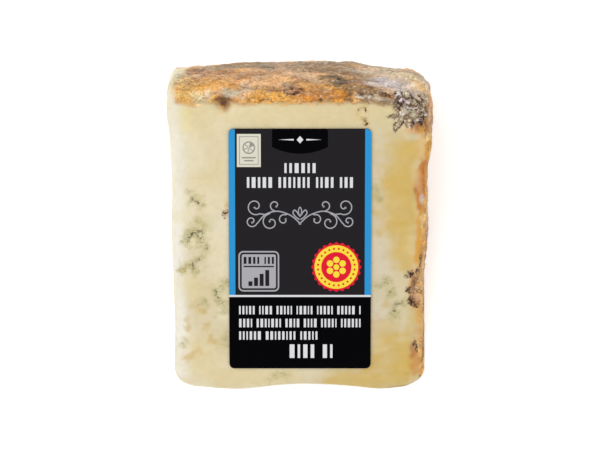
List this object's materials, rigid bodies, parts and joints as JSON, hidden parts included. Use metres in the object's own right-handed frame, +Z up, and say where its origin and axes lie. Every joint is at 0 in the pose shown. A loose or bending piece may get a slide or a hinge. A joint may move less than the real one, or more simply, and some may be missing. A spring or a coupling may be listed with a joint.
{
  "type": "stilton wedge",
  "caption": "Wedge of blue-veined cheese with a rough brown rind, in tight clear film, with a paper label on one cut face. It lies on its other cut face.",
  "frame": {"origin": "centre of the part's footprint, on the surface it lies on, which is the wedge's back cut face", "axes": "+Y from the thin edge towards the curved rind, +Z up, +X towards the end that has rind"},
  "size_m": [0.081, 0.1008, 0.0512],
  "materials": {
    "cheese": "moist cream-coloured cut cheese with blue-green veins, and rough orange and brown rind",
    "film": "clear glossy shrink film, tight to the cheese",
    "label": "smooth coated paper, satin",
    "print": "ink on coated paper, in fields of black, blue, grey, red, yellow and cream"
  },
  "bodies": {
    "root": {"wedge": "cheese", "label": "label"}
  },
  "joints": []
}
